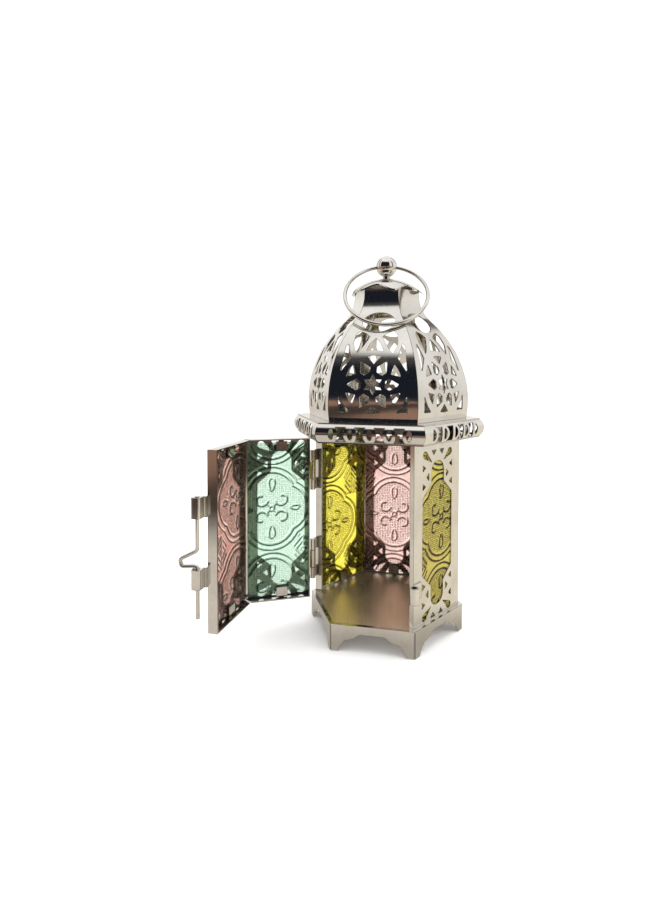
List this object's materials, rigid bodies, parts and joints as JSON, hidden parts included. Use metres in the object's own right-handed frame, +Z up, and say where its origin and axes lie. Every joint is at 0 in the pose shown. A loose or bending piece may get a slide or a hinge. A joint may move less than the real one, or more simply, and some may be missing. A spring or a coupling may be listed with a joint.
{
  "type": "candle lantern",
  "caption": "Hexagonal candle lantern: pierced metal walls with pressed coloured glass, a folded hinged door with a drop bolt, pierced dome, ball finial and carrying ring.",
  "frame": {"origin": "centre of the hexagonal body on the plane the feet stand on", "axes": "+Z up through the dome, cap and ball; the front facet of the body faces -Y; a body corner points along +X; shown with the door open at the front left"},
  "size_m": [0.1398, 0.1105, 0.1994],
  "materials": {
    "sheet_metal": "bright nickel-plated sheet, slightly wavy",
    "tray_metal": "plated sheet, inside of the tray brushed and warm grey",
    "turned_metal": "polished nickel plate",
    "hardware_metal": "polished nickel plate, slightly worn",
    "glass_green": "pressed relief glass, green",
    "glass_rose": "pressed relief glass, rose",
    "glass_yellow": "pressed relief glass, yellow"
  },
  "bodies": {
    "lantern": {"base_tray": "tray_metal", "wall_front_right": "sheet_metal", "wall_back_right": "sheet_metal", "wall_back": "sheet_metal", "wall_back_left": "sheet_metal", "glass_front_right": "glass_yellow", "glass_back_right": "glass_green", "glass_back": "glass_rose", "glass_back_left": "glass_yellow", "cornice_plate": "sheet_metal", "cornice_band": "sheet_metal", "dome_plate": "sheet_metal", "dome_petal_front": "sheet_metal", "dome_petal_front_right": "sheet_metal", "dome_petal_back_right": "sheet_metal", "dome_petal_back": "sheet_metal", "dome_petal_back_left": "sheet_metal", "dome_petal_front_left": "sheet_metal", "crown_cap": "sheet_metal", "finial_ball": "turned_metal", "finial_screw": "hardware_metal", "upper_hinge_fixed_leaf": "hardware_metal", "lower_hinge_fixed_leaf": "hardware_metal", "upper_hinge_pin": "hardware_metal", "lower_hinge_pin": "hardware_metal", "latch_keeper": "hardware_metal"},
    "door": {"door_frame": "sheet_metal", "door_glass_hinge_side": "glass_green", "door_glass_latch_side": "glass_rose", "upper_hinge_door_leaf": "hardware_metal", "lower_hinge_door_leaf": "hardware_metal", "upper_latch_bracket": "hardware_metal", "lower_latch_bracket": "hardware_metal"},
    "latch": {"latch_bolt": "hardware_metal"},
    "ring": {"carry_ring": "hardware_metal"}
  },
  "joints": [
    {"name": "door_hinge", "type": "hinge", "parent": "lantern", "child": "door", "pos_m": [-0.0405, -0.00283, 0], "axis": [0, 0, 1], "range_deg": [-88, 92]},
    {"name": "latch_slide", "type": "slide", "parent": "door", "child": "latch", "axis": [0, 0, 1], "range_m": [0, 0.0136]},
    {"name": "ring_swing", "type": "hinge", "parent": "lantern", "child": "ring", "pos_m": [0, 0, 0.1937], "axis": [-0.9863, -0.165, 0], "range_deg": [0, 281]}
  ]
}
